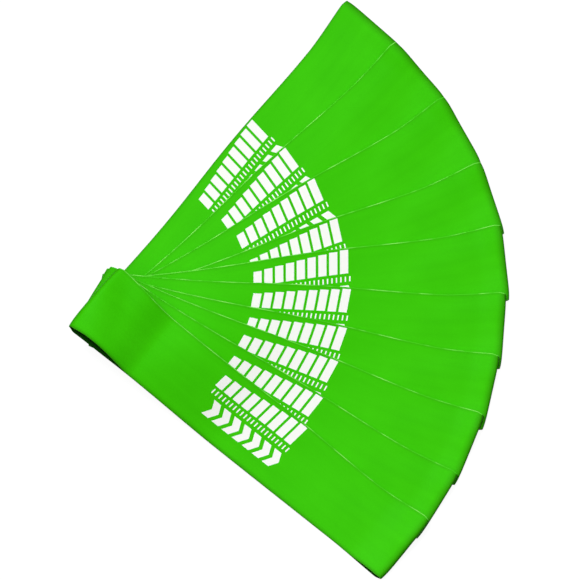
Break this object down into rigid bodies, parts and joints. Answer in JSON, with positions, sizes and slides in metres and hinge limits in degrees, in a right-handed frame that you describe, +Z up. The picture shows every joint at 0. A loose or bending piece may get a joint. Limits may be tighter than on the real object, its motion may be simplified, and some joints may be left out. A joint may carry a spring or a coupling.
{
  "type": "resistance band",
  "caption": "Fan of flat closed latex loop bands for stretching and rehabilitation exercise, laid on one another, each free to lift off the ones below.",
  "frame": {"origin": "the fan's pivot, where the upper edges of the bands meet, on the flat underside of the lowest band", "axes": "+Z up from the surface the bands lie on, +Y along the fan's widest span towards the lowest band's free end, +X out from the pivot along the fan's middle"},
  "size_m": [0.2924, 0.3917, 0.0346],
  "materials": {
    "latex": "satin natural latex, dyed bright green"
  },
  "bodies": {
    "band_01": {"band_01": "latex"},
    "band_02": {"band_02": "latex"},
    "band_03": {"band_03": "latex"},
    "band_04": {"band_04": "latex"},
    "band_05": {"band_05": "latex"},
    "band_06": {"band_06": "latex"},
    "band_07": {"band_07": "latex"},
    "band_08": {"band_08": "latex"},
    "band_09": {"band_09": "latex"},
    "band_10": {"band_10": "latex"}
  },
  "joints": [
    {"name": "lift_02", "type": "slide", "parent": "band_01", "child": "band_02", "axis": [0, 0, 1], "range_m": [0, 0.06]},
    {"name": "lift_03", "type": "slide", "parent": "band_02", "child": "band_03", "axis": [0, 0, 1], "range_m": [0, 0.06]},
    {"name": "lift_04", "type": "slide", "parent": "band_03", "child": "band_04", "axis": [0, 0, 1], "range_m": [0, 0.06]},
    {"name": "lift_05", "type": "slide", "parent": "band_04", "child": "band_05", "axis": [0, 0, 1], "range_m": [0, 0.06]},
    {"name": "lift_06", "type": "slide", "parent": "band_05", "child": "band_06", "axis": [0, 0, 1], "range_m": [0, 0.06]},
    {"name": "lift_07", "type": "slide", "parent": "band_06", "child": "band_07", "axis": [0, 0, 1], "range_m": [0, 0.06]},
    {"name": "lift_08", "type": "slide", "parent": "band_07", "child": "band_08", "axis": [0, 0, 1], "range_m": [0, 0.06]},
    {"name": "lift_09", "type": "slide", "parent": "band_08", "child": "band_09", "axis": [0, 0, 1], "range_m": [0, 0.06]},
    {"name": "lift_10", "type": "slide", "parent": "band_09", "child": "band_10", "axis": [0, 0, 1], "range_m": [0, 0.06]}
  ]
}
